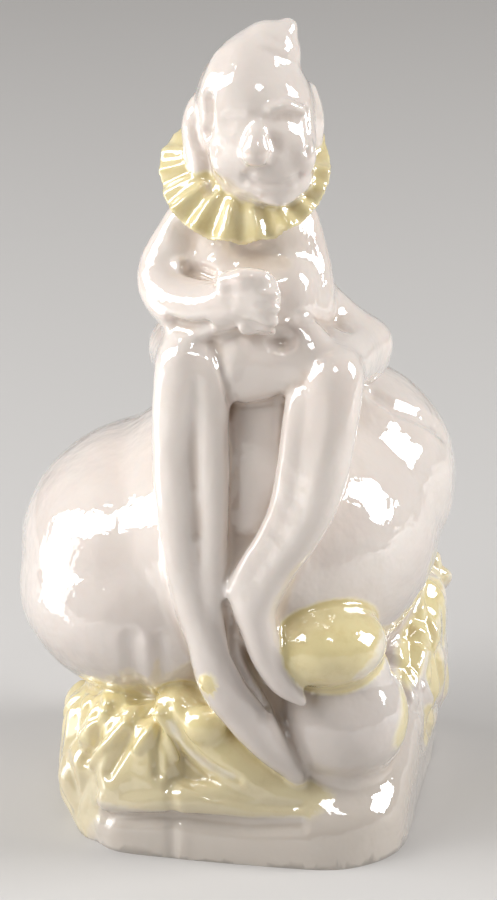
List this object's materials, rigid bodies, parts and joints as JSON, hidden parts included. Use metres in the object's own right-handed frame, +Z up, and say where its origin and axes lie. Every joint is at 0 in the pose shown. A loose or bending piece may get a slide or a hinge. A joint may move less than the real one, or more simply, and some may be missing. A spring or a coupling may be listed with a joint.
{
  "type": "porcelain leprechaun figurine",
  "caption": "Glazed porcelain ornament: an elf in a pointed hood and pleated ruff sits on a big toadstool above a small one, leaves and rocks on a low plinth.",
  "frame": {"origin": "centre of the flat underside of the plinth", "axes": "+Z up, -Y to the front where the shins hang, +X to the side of the small toadstool"},
  "size_m": [0.0689, 0.0651, 0.131],
  "materials": {
    "porcelain": "glazed porcelain, ivory white, with pale yellow lustre on the ruff, the leaves, the rocks and the small dome"
  },
  "bodies": {
    "root": {"figurine": "porcelain"}
  },
  "joints": []
}
